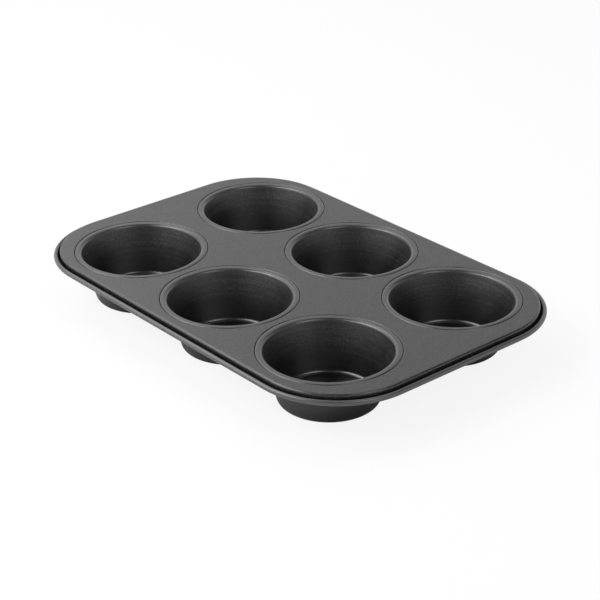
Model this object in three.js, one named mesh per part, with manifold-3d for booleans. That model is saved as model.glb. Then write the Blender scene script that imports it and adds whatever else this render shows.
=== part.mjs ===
// Six-cup muffin pan in coated sheet steel, in millimetres, +Z up, standing on its cup bases at z = 0.
// Eight pieces: a pressed deck with a rolled rim, the wire inside that rim, and six drawn cups
// whose flanges are lock-seamed into the deck's holes.
import * as THREE from "three";
import { mergeVertices } from "three/addons/utils/BufferGeometryUtils.js";
import Module from "manifold-3d";

// Layout of the cups and of the deck around them
const COLUMNS = 3;
const ROWS = 2;
const PITCH_X = 82.6;
const PITCH_Y = 90.6;
const MARGIN_X = 50.9;
const MARGIN_Y = 44.7;
const DECK_CORNER = 46.6;

// Sheet metal; every bend radius below is that of the middle of the sheet
const SHEET = 0.5;
const SEAM_GAP = 0.12;

// Cups: inner radii of the tapered wall, where it would meet the crown and the floor
const CUP_HEIGHT = 29.6;
const MOUTH_RADIUS = 35.05;
const FLOOR_RADIUS = 26.8;
const FLOOR_BEND = 3;
const MOUTH_BEND = 1.95;

// Lock seam: the flat crown outside each cup's rounded lip, a little proud of the deck, ends at a fine crease
const RING_RAISE = 0.1;
const SEAM_WIDTH = 2.13;
const CREASE_BEND = 0.35;

// Rolled rim, hung outside the deck's turned-down edge
const SHOULDER_BEND = 0.95;
const GROOVE = 0.91;
const CURL_DEPTH = 3.42;
const CURL_TUCK = 0.3;
const WIRE_DIAMETER = 1.5;
const WIRE_GAP = 0.08;

// Faceting, and the lap by which the flat of the deck runs into its rim and seams before they are joined
const CUP_SIDES = 28;
const CORNER_STEPS = 8;
const WIRE_SIDES = 8;
const LAP = 0.5;

// Sizes that follow from the ones above
const HALF_X = ((COLUMNS - 1) / 2) * PITCH_X + MARGIN_X;
const HALF_Y = ((ROWS - 1) / 2) * PITCH_Y + MARGIN_Y;
const DECK_TOP = CUP_HEIGHT - RING_RAISE;
const DECK_MID = DECK_TOP - SHEET / 2;
const LAYER = SHEET + SEAM_GAP;
const FLANGE_MID = CUP_HEIGHT - SHEET / 2;
const TAPER = (MOUTH_RADIUS - FLOOR_RADIUS) / (CUP_HEIGHT - SHEET);
const LIP_TURN = Math.PI / 2 - Math.atan(TAPER);
const LIP_RADIUS = wallAt(FLANGE_MID) + MOUTH_BEND * Math.tan(LIP_TURN / 2);
const CREASE_RADIUS = LIP_RADIUS + SEAM_WIDTH;
const CUP_FOLD = CREASE_RADIUS - SEAM_GAP / 2 - SHEET / 2;
const DECK_STEP = CREASE_RADIUS + SEAM_GAP / 2 + SHEET / 2;
const DECK_FOLD = LIP_RADIUS + SHEET / 2;
const SEAM_OUTER = DECK_STEP + CREASE_BEND + LAP;
const HOLE_RADIUS = DECK_STEP + CREASE_BEND + LAP / 4;
const CURL_BEND = WIRE_DIAMETER / 2 + WIRE_GAP + SHEET / 2;
const CURL_REACH = GROOVE + 2 * CURL_BEND + SHEET;
const CURL_MID = DECK_TOP - CURL_DEPTH;
const WIRE_OFFSET = CURL_REACH - SHEET / 2 - CURL_BEND;

const { Vector2, EllipseCurve } = THREE;
const wasm = await Module();
wasm.setup();

/** Coated steel of the deck and the cups. */
function coatedSteel() {
  return new THREE.MeshStandardMaterial({ color: 0x58595b, roughness: 0.42, metalness: 0.55 });
}

/** Plain drawn steel of the rim wire. */
function wireSteel() {
  return new THREE.MeshStandardMaterial({ color: 0x9a9c9e, roughness: 0.35, metalness: 1 });
}

/**
 * Middle line of a bent sheet: straight legs between corners, each corner rounded by its own bend.
 * A corner is [across, up, bend radius, facets in the bend]; without a bend it stays sharp.
 */
function bentLine(corners) {
  const line = [];
  corners.forEach(([x, y, bend = 0, facets = 2], i) => {
    const corner = new Vector2(x, y);
    if (bend === 0) {
      line.push(corner);
      return;
    }
    const back = new Vector2(...corners[i - 1]).sub(corner).normalize();
    const ahead = new Vector2(...corners[i + 1]).sub(corner).normalize();
    const half = Math.acos(back.dot(ahead)) / 2;
    const centre = back.clone().add(ahead).normalize().multiplyScalar(bend / Math.sin(half)).add(corner);
    const start = back.clone().multiplyScalar(bend / Math.tan(half)).add(corner).sub(centre);
    const sweep = Math.PI - 2 * half;
    const clockwise = back.cross(ahead) > 0;
    const from = start.angle();
    const to = clockwise ? from - sweep : from + sweep;
    line.push(...new EllipseCurve(centre.x, centre.y, bend, bend, from, to, clockwise).getPoints(facets));
  });
  return line.filter((point, i) => i === 0 || point.distanceTo(line[i - 1]) > 1e-3);
}

/** Closed outline of a sheet of even thickness laid along a middle line, its bends mitred. */
function sheetOutline(line) {
  const legs = line.slice(1).map((point, i) => point.clone().sub(line[i]).normalize());
  const left = [];
  const right = [];
  line.forEach((point, i) => {
    const before = legs[Math.max(i - 1, 0)];
    const after = legs[Math.min(i, legs.length - 1)];
    const along = before.clone().add(after).normalize();
    const reach = SHEET / 2 / along.dot(after);
    const offset = new Vector2(-along.y, along.x).multiplyScalar(reach);
    left.push(point.clone().add(offset));
    right.push(point.clone().sub(offset));
  });
  return [...right, ...left.reverse()];
}

/** Turn an outline given as (radius, height) about the Z axis. */
function turned(outline, closed) {
  const profile = closed ? [...outline, outline[0]] : outline;
  return new THREE.LatheGeometry(profile, CUP_SIDES).rotateX(Math.PI / 2);
}

/** Points and outward directions around the deck's outer wall, anticlockwise seen from above. */
function deckStations() {
  const stations = [];
  for (let corner = 0; corner < 4; corner += 1) {
    const turn = (corner * Math.PI) / 2;
    const sideX = corner === 0 || corner === 3 ? 1 : -1;
    const sideY = corner < 2 ? 1 : -1;
    const centre = new Vector2(sideX * (HALF_X - DECK_CORNER), sideY * (HALF_Y - DECK_CORNER));
    for (let step = 0; step <= CORNER_STEPS; step += 1) {
      const angle = turn + (step / CORNER_STEPS) * (Math.PI / 2);
      const outward = new Vector2(Math.cos(angle), Math.sin(angle));
      stations.push({ outward, base: outward.clone().multiplyScalar(DECK_CORNER).add(centre) });
    }
  }
  return stations;
}

/** Carry a closed outline, given as (outward, height), once around the deck's outer wall. */
function carried(outline) {
  const stations = deckStations();
  const size = outline.length;
  const positions = [];
  const index = [];
  stations.forEach(({ outward, base }, i) => {
    outline.forEach((point, j) => {
      positions.push(base.x + outward.x * point.x, base.y + outward.y * point.x, point.y);
      const next = ((i + 1) % stations.length) * size;
      const here = i * size;
      const k = (j + 1) % size;
      index.push(here + j, next + j, next + k, here + j, next + k, here + k);
    });
  });
  const geometry = new THREE.BufferGeometry();
  geometry.setAttribute("position", new THREE.Float32BufferAttribute(positions, 3));
  geometry.setIndex(index);
  return geometry;
}

/** Flat sheet of the deck, inside the rounded edge, with a hole where each cup is seamed in. */
function deckPlate(inset) {
  const edge = deckStations().map(({ outward, base }) => base.clone().addScaledVector(outward, -inset));
  const plate = new THREE.Shape(edge);
  cupPlaces().forEach(({ x, y }) => {
    const circle = new EllipseCurve(x, y, HOLE_RADIUS, HOLE_RADIUS, 0, 2 * Math.PI);
    plate.holes.push(new THREE.Path(circle.getPoints(CUP_SIDES).slice(0, -1)));
  });
  const settings = { depth: SHEET, bevelEnabled: false };
  return new THREE.ExtrudeGeometry(plate, settings).translate(0, 0, DECK_TOP - SHEET);
}

/** Place and name of every cup: columns left to right, the front row at -Y. */
function cupPlaces() {
  const places = [];
  for (let row = 0; row < ROWS; row += 1) {
    for (let column = 0; column < COLUMNS; column += 1) {
      const x = (column - (COLUMNS - 1) / 2) * PITCH_X;
      const y = (row - (ROWS - 1) / 2) * PITCH_Y;
      places.push({ name: `cup_row${row + 1}_col${column + 1}`, x, y });
    }
  }
  return places;
}

/** Section of the deck where it steps down at a crease, runs under the seam and folds back into it. */
function seamOutline() {
  const ledge = FLANGE_MID - 3 * LAYER;
  const tuck = FLANGE_MID - LAYER;
  return sheetOutline(bentLine([
    [SEAM_OUTER, DECK_MID],
    [DECK_STEP, DECK_MID, CREASE_BEND],
    [DECK_STEP, ledge],
    [DECK_FOLD, ledge],
    [DECK_FOLD, tuck],
    [CUP_FOLD - LAYER, tuck],
  ]));
}

/** Section of the deck's edge: over the shoulder, down the wall, out and up around the wire. */
function rimOutline(inset) {
  const wall = -SHEET / 2;
  const outer = CURL_REACH - SHEET / 2;
  const bowl = (outer - wall) / 2;
  const tail = outer - 2 * CURL_BEND;
  return sheetOutline(bentLine([
    [-inset, DECK_MID],
    [wall, DECK_MID, SHOULDER_BEND, 3],
    [wall, CURL_MID - bowl, bowl],
    [outer, CURL_MID - bowl, bowl],
    [outer, CURL_MID + CURL_BEND, CURL_BEND],
    [tail, CURL_MID + CURL_BEND, CURL_BEND],
    [tail, CURL_MID - CURL_TUCK],
  ]));
}

/** Radius of the middle of a cup's tapered wall at a height. */
function wallAt(z) {
  return FLOOR_RADIUS + (z - SHEET) * TAPER + (SHEET / 2) * Math.hypot(1, TAPER);
}

/** Section of a cup from its axis: floor, tapered wall, rounded lip, flange and the fold under it. */
function cupOutline() {
  const hook = FLANGE_MID - 2 * LAYER;
  return sheetOutline(bentLine([
    [0, SHEET / 2],
    [wallAt(SHEET / 2), SHEET / 2, FLOOR_BEND, 3],
    [wallAt(FLANGE_MID), FLANGE_MID, MOUTH_BEND, 3],
    [CUP_FOLD, FLANGE_MID, LAYER],
    [CUP_FOLD, hook],
    [DECK_FOLD + LAYER, hook],
  ]));
}

/** Solid for a boolean step from a closed geometry. */
function solidOf(geometry) {
  const bare = geometry.clone();
  bare.deleteAttribute("normal");
  bare.deleteAttribute("uv");
  const welded = mergeVertices(bare, 1e-4);
  const corners = Array.from(welded.index.array);
  const faces = [];
  for (let i = 0; i < corners.length; i += 3) {
    const [a, b, c] = corners.slice(i, i + 3);
    if (a !== b && b !== c && c !== a) {
      faces.push(a, b, c);
    }
  }
  const vertProperties = new Float32Array(welded.attributes.position.array);
  return new wasm.Manifold(new wasm.Mesh({ numProp: 3, vertProperties, triVerts: new Uint32Array(faces) }));
}

/** Join closed geometries into one body. */
function joined(geometries) {
  const body = geometries.map(solidOf).reduce((whole, part) => whole.add(part)).getMesh();
  const geometry = new THREE.BufferGeometry();
  geometry.setAttribute("position", new THREE.Float32BufferAttribute(body.vertProperties, 3));
  geometry.setIndex(Array.from(body.triVerts));
  geometry.computeVertexNormals();
  return geometry;
}

/** Deck: flat sheet, rolled rim and the six stepped seams, in one body. */
function deckGeometry() {
  const inset = SHOULDER_BEND + SHEET + LAP;
  const seam = turned(seamOutline(), true);
  const seams = cupPlaces().map(({ x, y }) => seam.clone().translate(x, y, 0));
  return joined([deckPlate(inset), carried(rimOutline(inset + LAP)), ...seams]);
}

/** Wire closed into a ring inside the rolled rim. */
function wireGeometry() {
  const circle = new EllipseCurve(WIRE_OFFSET, CURL_MID, WIRE_DIAMETER / 2, WIRE_DIAMETER / 2);
  return carried(circle.getPoints(WIRE_SIDES).slice(0, -1));
}

/** A named piece of the pan. */
function piece(name, geometry, material) {
  const mesh = new THREE.Mesh(geometry, material);
  mesh.name = name;
  return mesh;
}

const pan = new THREE.Group();
pan.name = "muffin_pan";
pan.add(piece("deck", deckGeometry(), coatedSteel()));
pan.add(piece("rim_wire", wireGeometry(), wireSteel()));
const cup = turned(cupOutline(), false);
cupPlaces().forEach(({ name, x, y }) => {
  const mesh = piece(name, cup.clone(), coatedSteel());
  mesh.position.set(x, y, 0);
  pan.add(mesh);
});

export default pan;
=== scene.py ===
"""Six-cup muffin pan: sheet-steel surfaces, non-stick coating, studio and camera around the CAD frame."""
import logging
import math
from dataclasses import dataclass, field
from enum import Enum

import bmesh
import bpy
from mathutils import Matrix, Vector


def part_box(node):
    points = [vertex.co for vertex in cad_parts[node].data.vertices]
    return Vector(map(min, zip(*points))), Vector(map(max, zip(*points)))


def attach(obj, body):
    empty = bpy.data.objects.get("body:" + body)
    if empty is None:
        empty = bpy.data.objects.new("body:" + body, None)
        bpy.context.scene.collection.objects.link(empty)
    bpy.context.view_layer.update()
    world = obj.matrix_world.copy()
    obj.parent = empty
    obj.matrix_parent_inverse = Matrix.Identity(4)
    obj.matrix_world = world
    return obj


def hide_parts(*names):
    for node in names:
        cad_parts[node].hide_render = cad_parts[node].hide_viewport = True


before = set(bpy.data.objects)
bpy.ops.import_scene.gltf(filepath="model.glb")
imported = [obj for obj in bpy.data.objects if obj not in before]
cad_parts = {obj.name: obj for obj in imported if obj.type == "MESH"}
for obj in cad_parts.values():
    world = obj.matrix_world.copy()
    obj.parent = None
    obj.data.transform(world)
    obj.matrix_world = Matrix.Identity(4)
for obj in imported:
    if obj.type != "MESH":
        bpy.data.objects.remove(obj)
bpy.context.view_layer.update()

MM = 0.001
BODY = "root"
WHITE = "#ffffff"
# lengths below which two points of a line, two vertices of a skin and two heights count as one
SAME_POINT = 0.001 * MM
SAME_VERTEX = 0.002 * MM
SAME_HEIGHT = 0.01 * MM
# angles past which an edge stays sharp
SHEET_SHARP_DEG = 40.0
WIRE_SHARP_DEG = 60.0
LOG = logging.getLogger("muffin_pan")


class Slot(Enum):
    """Names of the material slots of the record."""

    COATED = "coated_steel"
    WIRE = "wire_steel"


def linear(code: str) -> tuple[float, float, float, float]:
    """Turn an sRGB hex colour into linear light.

    Args:
        code: Colour as "#rrggbb".

    Returns:
        Red, green, blue and an alpha of one.
    """
    channels = [int(code[i:i + 2], 16) / 255 for i in (1, 3, 5)]
    red, green, blue = (c / 12.92 if c <= 0.04045 else ((c + 0.055) / 1.055) ** 2.4 for c in channels)
    return red, green, blue, 1.0


def add_node(tree: bpy.types.NodeTree, kind: str, inputs: dict[str | int, object],
             **settings: object) -> bpy.types.Node:
    """Add a shader node with its settings, values and links.

    Args:
        tree: Node tree that takes the node.
        kind: Blender's type name of the node.
        inputs: Input name or index to a value, or to the output socket that is linked there.
        **settings: Attributes of the node itself.

    Returns:
        The new node.
    """
    node = tree.nodes.new(kind)
    for name, value in settings.items():
        setattr(node, name, value)
    for name, value in inputs.items():
        if isinstance(value, bpy.types.NodeSocket):
            tree.links.new(value, node.inputs[name])
        else:
            node.inputs[name].default_value = value
    return node


def new_tree(owner: bpy.types.ID) -> bpy.types.NodeTree:
    """Give a material or world an empty node tree.

    Args:
        owner: Material or world.

    Returns:
        Its node tree.
    """
    owner.use_nodes = True
    owner.node_tree.nodes.clear()
    return owner.node_tree


def per_metre(size_mm: float) -> float:
    """Noise scale, in features per metre, for a feature of this size in millimetres."""
    return 1 / (size_mm * MM)


@dataclass(frozen=True)
class NonStickCoating:
    """Sprayed and baked fluoropolymer on carbon steel.

    It gives the eye a charcoal body with little light of its own, a satin gloss that takes the tone of what
    is around it, and the pebble and pale mist of dried spray. On a cup the mist follows faint draw marks
    around the wall, and the coat pools at the foot, where it is smoother and glossier; there the mist fades
    out, so the foot is darker, which is painted shade. The tools that crimp the rings and roll the rim wear
    it lighter there, and that lighter colour also paints in the sheen of the ring and the highlight of the
    roll.

    Real pebble, specks of mist and draw marks are a few tenths of a millimetre across. They are drawn
    coarser, because at their own size they are too fine to show in the render.
    """

    name: str
    wear_and_sheen_from: float
    wear_and_sheen_to: float
    colour: str = "#0a0a0a"
    mist: str = "#353536"
    wear_and_sheen: str = "#303031"
    roughness: float = 0.33
    roughness_spread: float = 0.04
    rub_gloss: float = 0.0
    ior: float = 1.8
    pebble_mm: float = 0.9
    pebble_depth_mm: float = 0.02
    # uneven gloss, and the part of its noise that spans the spread of roughness
    cloud_mm: float = 10.0
    cloud_range: tuple[float, float] = (0.3, 0.7)
    # part of the speck noise over which the mist goes from none to full
    speck_mm: float = 0.9
    mist_range: tuple[float, float] = (0.48, 0.68)
    draw_mm: float = 1.0
    draw_length_mm: float = 60.0
    draw_depth_mm: float = 0.0
    draw_share: float = 0.0
    # heights at which the pooled coat, with its painted shade, starts and is full, below the pan where there
    # is none
    pool_and_shade_mm: tuple[float, float] = (0.0, -1.0)
    pool_gloss: float = 0.09
    pool_pebble: float = 0.15

    def wear_and_sheen_signal(self, tree: bpy.types.NodeTree, place: bpy.types.NodeSocket) -> bpy.types.NodeSocket:
        """Signal of the wear and painted sheen, in metres: the height.

        Args:
            tree: Node tree of the coating.
            place: Object coordinates.

        Returns:
            The signal's socket.
        """
        return add_node(tree, "ShaderNodeSeparateXYZ", {0: place}).outputs["Z"]

    def material(self) -> bpy.types.Material:
        """Make the coating as a material on Object coordinates.

        Returns:
            The new material.
        """
        coating = bpy.data.materials.new(self.name)
        tree = new_tree(coating)
        place = add_node(tree, "ShaderNodeTexCoord", {}).outputs["Object"]
        height = add_node(tree, "ShaderNodeSeparateXYZ", {0: place}).outputs["Z"]
        pebble = add_node(tree, "ShaderNodeTexNoise",
                          {"Vector": place, "Scale": per_metre(self.pebble_mm), "Detail": 2.0,
                           "Roughness": 0.55})
        cloud = add_node(tree, "ShaderNodeTexNoise",
                         {"Vector": place, "Scale": per_metre(self.cloud_mm), "Detail": 4.0,
                          "Roughness": 0.6})
        speck = add_node(tree, "ShaderNodeTexNoise",
                         {"Vector": place, "Scale": per_metre(self.speck_mm), "Detail": 1.0,
                          "Roughness": 0.5})
        around, upward = per_metre(self.draw_length_mm), per_metre(self.draw_mm)
        stretched = add_node(tree, "ShaderNodeMapping", {"Vector": place, "Scale": (around, around, upward)})
        drawn = add_node(tree, "ShaderNodeTexNoise",
                         {"Vector": stretched.outputs[0], "Scale": 1.0, "Detail": 1.0})
        pattern = add_node(tree, "ShaderNodeMix",
                           {"Factor": self.draw_share, 2: speck.outputs["Fac"], 3: drawn.outputs["Fac"]})
        thin, thick = self.mist_range
        tone = add_node(tree, "ShaderNodeMapRange",
                        {"Value": pattern.outputs[0], "From Min": thin, "From Max": thick})
        top, bottom = self.pool_and_shade_mm
        # the pooled coat fades the mist out towards the foot, so the colour darkens there: painted shade in
        # the bottom of the cup; it also smooths the gloss and the pebble
        pool_and_shade = add_node(tree, "ShaderNodeMapRange",
                        {"Value": height, "From Min": top * MM, "From Max": bottom * MM}).outputs["Result"]
        misty = add_node(tree, "ShaderNodeMapRange",
                         {"Value": pool_and_shade, "To Min": tone.outputs["Result"], "To Max": 0.0})
        sprayed = add_node(tree, "ShaderNodeMix",
                           {"Factor": misty.outputs["Result"], 6: linear(self.colour), 7: linear(self.mist)},
                           data_type="RGBA")
        # the lighter colour where the ring and the roll are worn is also painted sheen and painted highlight
        wear_and_sheen_mask = add_node(tree, "ShaderNodeMapRange",
                       {"Value": self.wear_and_sheen_signal(tree, place), "From Min": self.wear_and_sheen_from,
                        "From Max": self.wear_and_sheen_to})
        colour = add_node(tree, "ShaderNodeMix",
                          {"Factor": wear_and_sheen_mask.outputs["Result"], 6: sprayed.outputs[2], 7: linear(self.wear_and_sheen)},
                          data_type="RGBA")
        clear, cloudy = self.cloud_range
        gloss = add_node(tree, "ShaderNodeMapRange",
                         {"Value": cloud.outputs["Fac"], "From Min": clear, "From Max": cloudy,
                          "To Min": self.roughness - self.roughness_spread,
                          "To Max": self.roughness + self.roughness_spread})
        pooled = add_node(tree, "ShaderNodeMath", {0: pool_and_shade, 1: -self.pool_gloss, 2: gloss.outputs["Result"]},
                          operation="MULTIPLY_ADD")
        satin = add_node(tree, "ShaderNodeMath",
                         {0: wear_and_sheen_mask.outputs["Result"], 1: -self.rub_gloss, 2: pooled.outputs[0]},
                         operation="MULTIPLY_ADD")
        depth = add_node(tree, "ShaderNodeMapRange",
                         {"Value": pool_and_shade, "To Min": self.pebble_depth_mm * MM,
                          "To Max": self.pebble_depth_mm * self.pool_pebble * MM})
        marks = add_node(tree, "ShaderNodeMath", {0: drawn.outputs["Fac"], 1: self.draw_depth_mm * MM},
                         operation="MULTIPLY")
        grain = add_node(tree, "ShaderNodeMath",
                         {0: pebble.outputs["Fac"], 1: depth.outputs["Result"], 2: marks.outputs[0]},
                         operation="MULTIPLY_ADD")
        relief = add_node(tree, "ShaderNodeBump",
                          {"Height": grain.outputs[0], "Strength": 1.0, "Distance": 1.0})
        shader = add_node(tree, "ShaderNodeBsdfPrincipled",
                          {"Base Color": colour.outputs[2], "Roughness": satin.outputs[0],
                           "Normal": relief.outputs["Normal"], "IOR": self.ior})
        add_node(tree, "ShaderNodeOutputMaterial", {"Surface": shader.outputs["BSDF"]})
        return coating


@dataclass(frozen=True)
class RimmedCoating(NonStickCoating):
    """The same coating on the deck, worn lighter with a painted highlight on the outside of the roll."""

    run: tuple[float, float] = (0.0, 0.0)

    def wear_and_sheen_signal(self, tree: bpy.types.NodeTree, place: bpy.types.NodeSocket) -> bpy.types.NodeSocket:
        """Signal of the wear and painted highlight, in metres: distance outward from the corners' centres.

        Args:
            tree: Node tree of the coating.
            place: Object coordinates.

        Returns:
            The signal's socket.
        """
        folded = add_node(tree, "ShaderNodeVectorMath", {0: place}, operation="ABSOLUTE").outputs[0]
        # a metre of height, far above the pan, takes the third coordinate out of the distance
        beyond = add_node(tree, "ShaderNodeVectorMath", {0: folded, 1: (*self.run, 1.0)},
                          operation="SUBTRACT")
        outward = add_node(tree, "ShaderNodeVectorMath", {0: beyond.outputs[0], 1: (0.0, 0.0, 0.0)},
                           operation="MAXIMUM")
        distance = add_node(tree, "ShaderNodeVectorMath", {0: outward.outputs[0]}, operation="LENGTH")
        return distance.outputs["Value"]


@dataclass(frozen=True)
class DrawnWire:
    """Cold-drawn steel wire: it gives the eye a satin grey metal with a fine scuff and a faint stain."""

    name: str = "cold_drawn_steel_wire"
    colour: str = "#8f9193"
    stain: str = "#77797a"
    roughness: float = 0.38
    roughness_spread: float = 0.08
    scuff_mm: float = 0.12
    stain_mm: float = 6.0

    def material(self) -> bpy.types.Material:
        """Make the wire's metal as a material on Object coordinates.

        Returns:
            The new material.
        """
        metal = bpy.data.materials.new(self.name)
        tree = new_tree(metal)
        place = add_node(tree, "ShaderNodeTexCoord", {}).outputs["Object"]
        stain = add_node(tree, "ShaderNodeTexNoise",
                         {"Vector": place, "Scale": per_metre(self.stain_mm), "Detail": 3.0})
        scuff = add_node(tree, "ShaderNodeTexNoise",
                         {"Vector": place, "Scale": per_metre(self.scuff_mm), "Detail": 1.0})
        colour = add_node(tree, "ShaderNodeMix",
                          {"Factor": stain.outputs["Fac"], 6: linear(self.colour), 7: linear(self.stain)},
                          data_type="RGBA")
        gloss = add_node(tree, "ShaderNodeMapRange",
                         {"Value": scuff.outputs["Fac"], "To Min": self.roughness - self.roughness_spread,
                          "To Max": self.roughness + self.roughness_spread})
        shader = add_node(tree, "ShaderNodeBsdfPrincipled",
                          {"Base Color": colour.outputs[2], "Roughness": gloss.outputs["Result"],
                           "Metallic": 1.0})
        add_node(tree, "ShaderNodeOutputMaterial", {"Surface": shader.outputs["BSDF"]})
        return metal


@dataclass(frozen=True)
class Corner:
    """Corner of a sheet's middle line, in metres: across, up, bend radius and facets in the bend."""

    across: float
    up: float
    bend: float = 0.0
    facets: int = 8

    @property
    def point(self) -> Vector:
        """The corner as if it were sharp."""
        return Vector((self.across, self.up))


def middle_line(corners: list[Corner]) -> list[Vector]:
    """Round each corner of a sheet's middle line by its bend.

    Args:
        corners: Corners in order along the sheet.

    Returns:
        Points (across, up) along the line, with arcs for the bends.
    """
    line: list[Vector] = []
    for i, corner in enumerate(corners):
        if corner.bend == 0:
            line.append(corner.point)
            continue
        back = (corners[i - 1].point - corner.point).normalized()
        ahead = (corners[i + 1].point - corner.point).normalized()
        half = back.angle(ahead) / 2
        centre = corner.point + (back + ahead).normalized() * (corner.bend / math.sin(half))
        spoke = corner.point + back * (corner.bend / math.tan(half)) - centre
        turn = math.copysign(math.pi - 2 * half, back.x * ahead.y - back.y * ahead.x) * -1
        for step in range(corner.facets + 1):
            angle = turn * step / corner.facets
            rotated = Vector((spoke.x * math.cos(angle) - spoke.y * math.sin(angle),
                              spoke.x * math.sin(angle) + spoke.y * math.cos(angle)))
            line.append(centre + rotated)
    return [p for i, p in enumerate(line) if i == 0 or (p - line[i - 1]).length > SAME_POINT]


def deselect_all() -> None:
    """Leave edit mode, if any, with no object selected."""
    if bpy.context.object and bpy.context.object.mode != "OBJECT":
        bpy.ops.object.mode_set(mode="OBJECT")
    bpy.ops.object.select_all(action="DESELECT")


def pick(*pieces: bpy.types.Object) -> None:
    """Select these objects alone, with the first one active.

    Args:
        *pieces: Objects to select.
    """
    deselect_all()
    for piece in pieces:
        piece.select_set(True)
    bpy.context.view_layer.objects.active = pieces[0]


def draw_line(name: str, points: list[Vector]) -> bpy.types.Object:
    """Draw a chain of edges by extruding one vertex, and stay in edit mode with all of it selected.

    Args:
        name: Name of the new object.
        points: Points of the chain, in metres.

    Returns:
        The new object, at the origin.
    """
    deselect_all()
    bpy.ops.mesh.primitive_plane_add(size=MM)
    drawn = bpy.context.object
    drawn.name = name
    drawn.data.name = name
    bpy.ops.object.mode_set(mode="EDIT")
    bpy.ops.mesh.select_mode(type="VERT")
    bpy.ops.mesh.select_all(action="SELECT")
    bpy.ops.mesh.merge(type="CENTER")
    bpy.ops.transform.translate(value=points[0])
    for start, end in zip(points, points[1:]):
        bpy.ops.mesh.extrude_vertices_move(TRANSFORM_OT_translate={"value": end - start})
    bpy.ops.mesh.select_all(action="SELECT")
    return drawn


def close_skin() -> None:
    """Weld the skin being edited and turn its faces one way."""
    bpy.ops.mesh.select_all(action="SELECT")
    bpy.ops.mesh.remove_doubles(threshold=SAME_VERTEX)
    bpy.ops.mesh.normals_make_consistent(inside=False)


def thicken(piece: bpy.types.Object, sheet: float) -> None:
    """Give a middle skin the thickness of its sheet, half to each side.

    Args:
        piece: Object that holds the skin.
        sheet: Thickness in metres.
    """
    pick(piece)
    wall = piece.modifiers.new("sheet", "SOLIDIFY")
    wall.thickness = sheet
    wall.offset = 0.0
    wall.use_even_offset = True
    bpy.ops.object.modifier_apply(modifier=wall.name)


def smooth(piece: bpy.types.Object, angle_deg: float = SHEET_SHARP_DEG) -> None:
    """Shade a piece smooth, with its raw sheet edges kept sharp."""
    pick(piece)
    bpy.ops.object.shade_smooth_by_angle(angle=math.radians(angle_deg))


def dress(piece: bpy.types.Object, material: bpy.types.Material, node: str) -> None:
    """Give a piece its finish and its body, and hide the CAD node that it stands for.

    Args:
        piece: Finished piece.
        material: Its finish.
        node: CAD node that it stands for.
    """
    piece.data.materials.clear()
    piece.data.materials.append(material)
    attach(piece, BODY)
    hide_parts(node)
    LOG.info("%s: %d faces", piece.name, len(piece.data.polygons))


@dataclass(frozen=True)
class Seam:
    """Lock seam between a cup and the deck: four layers of sheet, folded into each other."""

    sheet: float = 0.5 * MM
    gap: float = 0.12 * MM
    mouth_bend: float = 1.95 * MM
    crease_bend: float = 0.35 * MM
    ledge_bend: float = 0.3 * MM
    ledge_facets: int = 5
    flat: float = 0.4 * MM
    sides: int = 160

    @property
    def layer(self) -> float:
        """Rise from one layer of the seam to the next."""
        return self.sheet + self.gap


@dataclass
class Cup:
    """Drawn tapered cup whose flange is folded into the deck's seam."""

    seam: Seam
    reach: float
    height: float
    mouth_radius: float = 35.05 * MM
    floor_radius: float = 26.8 * MM
    floor_bend: float = 3.0 * MM
    floor_ring: float = 12.0 * MM
    bend_facets: int = 12
    # depths below the crown at which the wear and painted sheen start and are full
    wear_and_sheen: tuple[float, float] = (2.0 * MM, 0.8 * MM)

    @property
    def flange(self) -> float:
        """Height of the middle of the flange."""
        return self.height - self.seam.sheet / 2

    @property
    def fold(self) -> float:
        """Radius of the middle of the flange's outer fold."""
        return self.reach - self.seam.sheet / 2

    @property
    def taper(self) -> float:
        """Spread of the wall for each unit of height."""
        return (self.mouth_radius - self.floor_radius) / (self.height - self.seam.sheet)

    @property
    def skin(self) -> float:
        """Level distance from the wall's inner face to its middle, at the height of a sheet's middle."""
        return self.seam.sheet / 2 * (math.hypot(1, self.taper) - self.taper)

    @property
    def deck_fold(self) -> float:
        """Radius of the middle of the deck's fold, just outside the lip's bend."""
        turn = math.pi / 2 - math.atan(self.taper)
        lip = self.mouth_radius + self.skin + self.seam.mouth_bend * math.tan(turn / 2)
        return lip + self.seam.sheet / 2

    def section(self) -> list[Corner]:
        """Section from the hidden end of the fold, over the ring and down the wall to the axis.

        Returns:
            Corners of the sheet's middle line, from the cup's axis and up from its base.
        """
        sheet = self.seam.sheet
        low = self.floor_radius + self.skin
        high = self.mouth_radius + self.skin
        hook = self.flange - 2 * self.seam.layer
        return [
            Corner(self.deck_fold + self.seam.layer, hook),
            Corner(self.fold, hook, self.seam.layer),
            Corner(self.fold, self.flange, self.seam.layer),
            Corner(high, self.flange, self.seam.mouth_bend, self.bend_facets),
            Corner(low, sheet / 2, self.floor_bend, self.bend_facets),
            Corner(self.floor_ring, sheet / 2),
            Corner(0.0, sheet / 2),
        ]

    def build(self, node: str, centre: Vector) -> bpy.types.Object:
        """Spin the section into a cup.

        Args:
            node: CAD node that the cup stands for, which names it.
            centre: Middle of the cup's base.

        Returns:
            The finished cup.
        """
        line = middle_line(self.section())
        cup = draw_line(f"{node}_sheet", [centre + Vector((p.x, 0, p.y)) for p in line])
        bpy.ops.mesh.spin(steps=self.seam.sides, angle=2 * math.pi, center=centre, axis=(0, 0, 1))
        close_skin()
        thicken(cup, self.seam.sheet)
        smooth(cup)
        return cup


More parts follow.
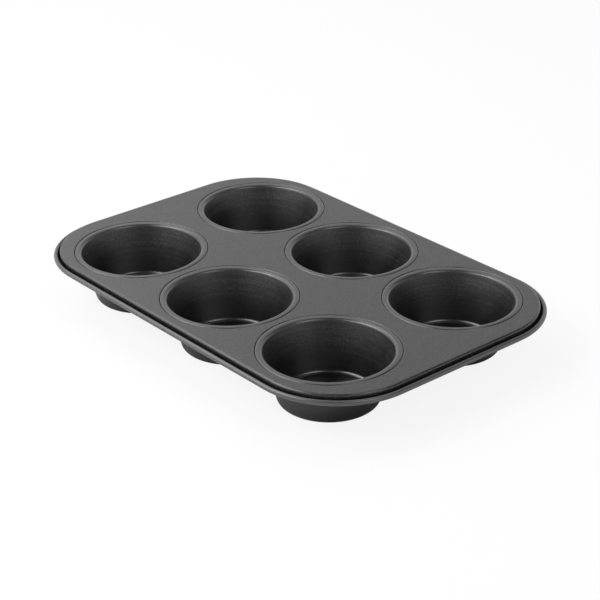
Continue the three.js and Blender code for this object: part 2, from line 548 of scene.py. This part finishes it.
@dataclass
class Rim:
    """Rolled rim outside the deck's turned-down edge, with the wire inside it."""

    shoulder_bend: float = 0.95 * MM
    curl_depth: float = 3.42 * MM
    curl_reach: float = 3.57 * MM
    curl_tuck: float = 0.3 * MM
    wire_diameter: float = 1.5 * MM
    wire_gap: float = 0.08 * MM
    flat: float = 0.6 * MM
    corner_radius: float = 46.6 * MM
    bend_facets: int = 10
    corner_steps: int = 32
    wire_sides: int = 20
    # distances inward from the outside of the roll at which the wear and painted highlight start and are full
    wear_and_sheen: tuple[float, float] = (1.9 * MM, 0.9 * MM)

    def section(self, sheet: float, deck_top: float) -> list[Corner]:
        """Section over the shoulder, down the wall, and out and up around the wire.

        Args:
            sheet: Thickness of the deck's sheet.
            deck_top: Height of the deck's upper face.

        Returns:
            Corners of the sheet's middle line, out from the deck's turned-down edge.
        """
        wall = -sheet / 2
        outer = self.curl_reach - sheet / 2
        bowl = (outer - wall) / 2
        curl = self.curl_bend(sheet)
        middle = deck_top - self.curl_depth
        tail = outer - 2 * curl
        return [
            Corner(-sheet / 2 - self.shoulder_bend - self.flat, deck_top - sheet / 2),
            Corner(wall, deck_top - sheet / 2, self.shoulder_bend, self.bend_facets),
            Corner(wall, middle - bowl, bowl, self.bend_facets),
            Corner(outer, middle - bowl, bowl, self.bend_facets),
            Corner(outer, middle + curl, curl, self.bend_facets),
            Corner(tail, middle + curl, curl, self.bend_facets),
            Corner(tail, middle - self.curl_tuck),
        ]

    def curl_bend(self, sheet: float) -> float:
        """Bend radius of the sheet where it wraps the wire."""
        return self.wire_diameter / 2 + self.wire_gap + sheet / 2

    def walk(self, half: Vector) -> None:
        """Carry the selected section once around the deck: spin each corner, extrude each straight side.

        Args:
            half: Half length and half width of the deck at its outer wall.
        """
        run = Vector((half.x - self.corner_radius, half.y - self.corner_radius, 0))
        for side_x, side_y, step in ((1, 1, (-2 * run.x, 0, 0)), (-1, 1, (0, -2 * run.y, 0)),
                                     (-1, -1, (2 * run.x, 0, 0)), (1, -1, (0, 2 * run.y, 0))):
            bpy.ops.mesh.spin(steps=self.corner_steps, angle=-math.pi / 2, axis=(0, 0, 1),
                              center=(side_x * run.x, side_y * run.y, 0))
            bpy.ops.mesh.extrude_region_move(TRANSFORM_OT_translate={"value": step})
        close_skin()

    def start(self, half: Vector) -> Vector:
        """Point of the outer wall where the walk around the deck begins."""
        return Vector((half.x, half.y - self.corner_radius, 0))


def cup_names() -> list[str]:
    """Names of the CAD nodes of the cups, in order."""
    return sorted(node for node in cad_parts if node.startswith("cup_"))


@dataclass
class Pan:
    """The whole pan: deck, rim wire and cups, at the places that the CAD frame gives."""

    seam: Seam = field(default_factory=Seam)
    rim: Rim = field(default_factory=Rim)
    cup_nodes: list[str] = field(default_factory=cup_names)

    def __post_init__(self) -> None:
        """Read the pan's overall sizes from the frame."""
        low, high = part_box(self.cup_nodes[0])
        self.deck_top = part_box("deck")[1].z
        self.cup = Cup(self.seam, reach=(high.x - low.x) / 2, height=high.z)
        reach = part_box("deck")[1]
        self.half = Vector((reach.x - self.rim.curl_reach, reach.y - self.rim.curl_reach, 0))

    def centre(self, node: str) -> Vector:
        """Middle of a cup's base."""
        low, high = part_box(node)
        return Vector(((low.x + high.x) / 2, (low.y + high.y) / 2, 0))

    def seam_section(self) -> list[Corner]:
        """Section of the deck at a hole: down at the crease, in under the seam, and back up into it.

        Returns:
            Corners of the sheet's middle line, from the hole's axis and up from the pan's base.
        """
        step = self.cup.reach + self.seam.gap + self.seam.sheet / 2
        deck_mid = self.deck_top - self.seam.sheet / 2
        ledge = self.cup.flange - 3 * self.seam.layer
        tuck = self.cup.flange - self.seam.layer
        return [
            Corner(step + self.seam.crease_bend + self.seam.flat, deck_mid),
            Corner(step, deck_mid, self.seam.crease_bend),
            Corner(step, ledge, self.seam.ledge_bend, self.seam.ledge_facets),
            Corner(self.cup.deck_fold, ledge, self.seam.layer),
            Corner(self.cup.deck_fold, tuck, self.seam.layer),
            Corner(self.cup.fold - self.seam.layer, tuck),
        ]

    def build_seams(self) -> list[bpy.types.Object]:
        """Spin one stepped hole edge and copy it to every cup's place.

        Returns:
            The edges, one for each cup.
        """
        first = self.centre(self.cup_nodes[0])
        line = middle_line(self.seam_section())
        edge = draw_line("seam_edge", [first + Vector((p.x, 0, p.y)) for p in line])
        bpy.ops.mesh.spin(steps=self.seam.sides, angle=2 * math.pi, center=first, axis=(0, 0, 1))
        close_skin()
        edges = [edge]
        for node in self.cup_nodes[1:]:
            pick(edge)
            bpy.ops.object.duplicate()
            copy = bpy.context.object
            bpy.ops.transform.translate(value=self.centre(node) - first)
            bpy.ops.object.transform_apply(location=True, rotation=True, scale=True)
            edges.append(copy)
        return edges

    def build_deck(self) -> bpy.types.Object:
        """Join the rolled rim and the stepped holes by the flat of the deck, and thicken the whole.

        Returns:
            The finished deck.
        """
        start = self.rim.start(self.half)
        line = middle_line(self.rim.section(self.seam.sheet, self.deck_top))
        deck = draw_line("deck_sheet", [start + Vector((p.x, 0, p.y)) for p in line])
        self.rim.walk(self.half)
        pick(deck, *self.build_seams())
        bpy.ops.object.join()
        bpy.ops.object.mode_set(mode="EDIT")
        self.select_flat_edges(deck)
        bpy.ops.mesh.fill(use_beauty=True)
        close_skin()
        thicken(deck, self.seam.sheet)
        smooth(deck)
        return deck

    def select_flat_edges(self, deck: bpy.types.Object) -> None:
        """Select the open edges that lie in the flat of the deck.

        Args:
            deck: Deck in edit mode, with its rim and hole edges still apart.
        """
        height = self.deck_top - self.seam.sheet / 2
        bpy.ops.mesh.select_mode(type="EDGE")
        bpy.ops.mesh.select_all(action="DESELECT")
        mesh = bmesh.from_edit_mesh(deck.data)
        for edge in mesh.edges:
            level = all(abs(v.co.z - height) < SAME_HEIGHT for v in edge.verts)
            edge.select_set(level and edge.is_boundary)
        bmesh.update_edit_mesh(deck.data)

    def build_wire(self) -> bpy.types.Object:
        """Carry a round section around the inside of the rolled rim.

        Returns:
            The finished wire.
        """
        deselect_all()
        offset = self.rim.curl_reach - self.seam.sheet / 2 - self.rim.curl_bend(self.seam.sheet)
        place = self.rim.start(self.half) + Vector((offset, 0, self.deck_top - self.rim.curl_depth))
        bpy.ops.mesh.primitive_circle_add(vertices=self.rim.wire_sides,
                                          radius=self.rim.wire_diameter / 2,
                                          location=place, rotation=(math.pi / 2, 0, 0))
        wire = bpy.context.object
        wire.name = "rim_wire_ring"
        bpy.ops.object.transform_apply(location=True, rotation=True, scale=True)
        bpy.ops.object.mode_set(mode="EDIT")
        bpy.ops.mesh.select_all(action="SELECT")
        self.rim.walk(self.half)
        smooth(wire, WIRE_SHARP_DEG)
        return wire

    def deck_coat(self) -> RimmedCoating:
        """Coating of the deck, worn lighter with a painted highlight on the outside of the roll.

        Returns:
            The finish.
        """
        corner = self.rim.corner_radius
        roll = corner + self.rim.curl_reach
        start, full = self.rim.wear_and_sheen
        # the lighter colour on the outside of the roll is wear and a painted highlight
        return RimmedCoating("baked_nonstick_worn_with_painted_highlight_on_the_roll", wear_and_sheen_from=roll - start,
                             wear_and_sheen_to=roll - full, wear_and_sheen="#464647",
                             run=(self.half.x - corner, self.half.y - corner))

    def cup_coat(self) -> NonStickCoating:
        """Coating of a cup: ring worn lighter with painted sheen, drawn wall, foot pooled with painted shade.

        Returns:
            The finish.
        """
        start, full = self.cup.wear_and_sheen
        # the lighter colour on the ring is wear and painted sheen
        return NonStickCoating("baked_nonstick_worn_with_painted_sheen_on_the_ring", wear_and_sheen_from=self.cup.height - start,
                               wear_and_sheen_to=self.cup.height - full, colour="#060606", mist="#39393a",
                               mist_range=(0.47, 0.64), roughness=0.40, rub_gloss=0.07,
                               # the mist fades out from 20 mm down to 3 mm above the base: painted shade in
                               # the bottom of the cup
                               draw_depth_mm=0.02, draw_share=0.40, pool_and_shade_mm=(20.0, 3.0))

    def build(self) -> None:
        """Build every piece, dress it and set it in the frame."""
        dress(self.build_deck(), self.deck_coat().material(), "deck")
        dress(self.build_wire(), DrawnWire().material(), "rim_wire")
        coating = self.cup_coat().material()
        first = self.cup_nodes[0]
        model = self.cup.build(first, self.centre(first))
        for node in self.cup_nodes[1:]:
            pick(model)
            bpy.ops.object.duplicate()
            copy = bpy.context.object
            copy.name = f"{node}_sheet"
            bpy.ops.transform.translate(value=self.centre(node) - self.centre(first))
            bpy.ops.object.transform_apply(location=True, rotation=True, scale=True)
            dress(copy, coating, node)
        dress(model, coating, first)


def rises(elevations_deg: tuple[float, float]) -> tuple[float, float]:
    """Turn two elevations into heights on a sphere of radius one."""
    first, last = (math.sin(math.radians(angle)) for angle in elevations_deg)
    return first, last


@dataclass(frozen=True)
class Softbox:
    """Studio light aimed at the pan.

    Its azimuth turns to the right from straight behind the pan, as the camera sees it.
    """

    name: str
    azimuth_deg: float
    elevation_deg: float
    width: float
    height: float
    radiance: float
    distance: float = 1.2

    def place(self, target: Vector, behind: Vector) -> None:
        """Set the light up, facing the target.

        Args:
            target: Point that the light faces.
            behind: Level direction from the camera to what is behind the pan.
        """
        data = bpy.data.lights.new(self.name, "AREA")
        data.shape = "RECTANGLE"
        data.size = self.width
        data.size_y = self.height
        data.energy = self.radiance * math.pi * self.width * self.height
        lamp = bpy.data.objects.new(self.name, data)
        bpy.context.scene.collection.objects.link(lamp)
        level = Matrix.Rotation(-math.radians(self.azimuth_deg), 3, "Z") @ behind
        elevation = math.radians(self.elevation_deg)
        away = level * math.cos(elevation) + Vector((0, 0, math.sin(elevation)))
        turn = away.to_track_quat("Z", "Y").to_matrix().to_4x4()
        lamp.matrix_world = Matrix.Translation(target + away * self.distance) @ turn


@dataclass(frozen=True)
class Studio:
    """White backdrop, soft lights, a pale floor and the camera.

    Each pair of a side or an elevation gives where a fade of the surroundings starts and ends. Sides run from
    -1 at the camera to 1 behind the pan. The floor's glow and shade are those in the gloss and in the camera.
    """

    image_px: int = 600
    sensor_mm: float = 36.0
    focal_px: float = 1788.7
    azimuth_deg: float = 49.540
    elevation_deg: float = 26.565
    roll_deg: float = -0.454
    distance: float = 983.6 * MM
    aim: tuple[float, float] = (29.60 * MM, -19.53 * MM)
    floor_side: float = 12.0
    room: float = 0.06
    horizon: tuple[float, float] = (0.38, 1.15)
    horizon_deg: tuple[float, float] = (22.0, 8.0)
    horizon_side: tuple[float, float] = (-1.0, -0.7)
    backdrop: float = 0.90
    backdrop_deg: tuple[float, float] = (50.0, 18.0)
    backdrop_side: tuple[float, float] = (-0.1, 0.8)
    floor_glow: tuple[float, float] = (0.03, 0.88)
    floor_shade: tuple[str, str] = ("#e6e6e6", "#606060")
    floor_paper: str = "#e6e6e6"
    boxes: tuple[Softbox, ...] = (
        Softbox("key_left", 246, 44, 0.9, 0.45, 5.6),
        Softbox("side_left", 290, 48, 0.9, 0.7, 1.6),
        Softbox("card_left", 272, 27, 0.8, 0.35, 2.2),
        Softbox("back_left", 330, 45, 0.7, 0.6, 1.5),
        Softbox("back_top", 8, 62, 0.9, 0.5, 1.6),
        Softbox("fill_right", 140, 44, 0.55, 0.45, 3.8),
    )

    @property
    def behind(self) -> Vector:
        """Level direction from the camera to what is behind the pan."""
        azimuth = math.radians(self.azimuth_deg)
        return Vector((-math.sin(azimuth), math.cos(azimuth), 0))

    def fade(self, tree: bpy.types.NodeTree, value: bpy.types.NodeSocket, edges: tuple[float, float],
             levels: tuple[float, float]) -> bpy.types.NodeSocket:
        """Fade smoothly from one level to another.

        Args:
            tree: Node tree of the world.
            value: Signal that the fade follows.
            edges: Values of the signal at which the fade starts and ends.
            levels: Levels at its start and its end.

        Returns:
            The faded level.
        """
        (start, end), (first, last) = edges, levels
        node = add_node(tree, "ShaderNodeMapRange",
                        {"Value": value, "From Min": start, "From Max": end, "To Min": first, "To Max": last},
                        interpolation_type="SMOOTHSTEP")
        return node.outputs["Result"]

    def set_world(self) -> None:
        """White backdrop behind the pan, a pale horizon around it and a dim room above."""
        world = bpy.data.worlds.new("white_backdrop")
        bpy.context.scene.world = world
        tree = new_tree(world)
        view = add_node(tree, "ShaderNodeTexCoord", {}).outputs["Generated"]
        rise = add_node(tree, "ShaderNodeSeparateXYZ", {0: view}).outputs["Z"]
        along = add_node(tree, "ShaderNodeVectorMath", {0: view, 1: self.behind}, operation="DOT_PRODUCT")
        side = along.outputs["Value"]
        pale = self.fade(tree, side, self.horizon_side, self.horizon)
        low = self.fade(tree, rise, rises(self.horizon_deg), (0.0, 1.0))
        wide = self.fade(tree, side, self.backdrop_side, (0.0, self.backdrop))
        sheet = self.fade(tree, rise, rises(self.backdrop_deg), (0.0, 1.0))
        band = add_node(tree, "ShaderNodeMath", {0: pale, 1: low}, operation="MULTIPLY")
        screen = add_node(tree, "ShaderNodeMath", {0: wide, 1: sheet}, operation="MULTIPLY")
        lit = add_node(tree, "ShaderNodeMath", {0: band.outputs[0], 1: screen.outputs[0]},
                       operation="MAXIMUM")
        around = add_node(tree, "ShaderNodeMath", {0: lit.outputs[0], 1: self.room}, operation="ADD")
        sky = add_node(tree, "ShaderNodeBackground",
                       {"Color": linear(WHITE), "Strength": around.outputs[0]})
        add_node(tree, "ShaderNodeOutputWorld", {"Surface": sky.outputs["Background"]})

    def build_floor(self) -> None:
        """White paper floor, white in the camera and in the pan's gloss, with a pale shadow of the pan."""
        deselect_all()
        bpy.ops.mesh.primitive_plane_add(size=self.floor_side)
        floor = bpy.context.object
        floor.name = "studio_floor"
        paper = bpy.data.materials.new("white_paper_sweep")
        tree = new_tree(paper)
        path = add_node(tree, "ShaderNodeLightPath", {}).outputs
        mirrored = add_node(tree, "ShaderNodeMath",
                            {0: path["Is Glossy Ray"], 1: path["Is Transmission Ray"]}, operation="MAXIMUM")
        seen = add_node(tree, "ShaderNodeMath",
                        {0: path["Is Camera Ray"], 1: mirrored.outputs[0]}, operation="MAXIMUM")
        in_gloss, in_camera = self.floor_glow
        strength = add_node(tree, "ShaderNodeMapRange",
                            {"Value": path["Is Camera Ray"], "To Min": in_gloss, "To Max": in_camera})
        in_gloss, in_camera = self.floor_shade
        tone = add_node(tree, "ShaderNodeMix",
                        {"Factor": path["Is Camera Ray"], 6: linear(in_gloss), 7: linear(in_camera)},
                        data_type="RGBA")
        glow = add_node(tree, "ShaderNodeEmission",
                        {"Color": linear(WHITE), "Strength": strength.outputs["Result"]})
        shade = add_node(tree, "ShaderNodeBsdfDiffuse", {"Color": tone.outputs[2]})
        white = add_node(tree, "ShaderNodeAddShader", {0: glow.outputs[0], 1: shade.outputs[0]})
        plain = add_node(tree, "ShaderNodeBsdfDiffuse", {"Color": linear(self.floor_paper)})
        both = add_node(tree, "ShaderNodeMixShader",
                        {"Fac": seen.outputs[0], 1: plain.outputs[0], 2: white.outputs[0]})
        add_node(tree, "ShaderNodeOutputMaterial", {"Surface": both.outputs[0]})
        floor.data.materials.append(paper)

    def place_camera(self, deck_top: float) -> None:
        """Set the camera at the photograph's viewpoint.

        Args:
            deck_top: Height of the deck, which the aim lies on.
        """
        azimuth, elevation = math.radians(self.azimuth_deg), math.radians(self.elevation_deg)
        back = Vector((math.sin(azimuth) * math.cos(elevation), -math.cos(azimuth) * math.cos(elevation),
                       math.sin(elevation)))
        right = Vector((0, 0, 1)).cross(back).normalized()
        turn = Matrix((right, back.cross(right), back)).transposed().to_4x4()
        data = bpy.data.cameras.new("camera")
        data.sensor_width = self.sensor_mm
        data.lens = self.focal_px / self.image_px * self.sensor_mm
        camera = bpy.data.objects.new("camera", data)
        bpy.context.scene.collection.objects.link(camera)
        target = Vector((*self.aim, deck_top))
        roll = Matrix.Rotation(math.radians(self.roll_deg), 4, "Z")
        camera.matrix_world = Matrix.Translation(target + back * self.distance) @ turn @ roll
        bpy.context.scene.camera = camera

    def build(self, deck_top: float) -> None:
        """Set up the surroundings, the lights, the floor and the camera.

        Args:
            deck_top: Height of the deck, which the lights and the camera face.
        """
        bpy.context.scene.view_settings.view_transform = "Standard"
        self.set_world()
        self.build_floor()
        for box in self.boxes:
            box.place(Vector((0, 0, deck_top)), self.behind)
        self.place_camera(deck_top)


def main() -> None:
    """Build the pan and the studio around it."""
    logging.basicConfig(level=logging.INFO, format="%(name)s %(message)s")
    pan = Pan()
    pan.build()
    Studio().build(pan.deck_top)


if __name__ == "__main__":
    main()
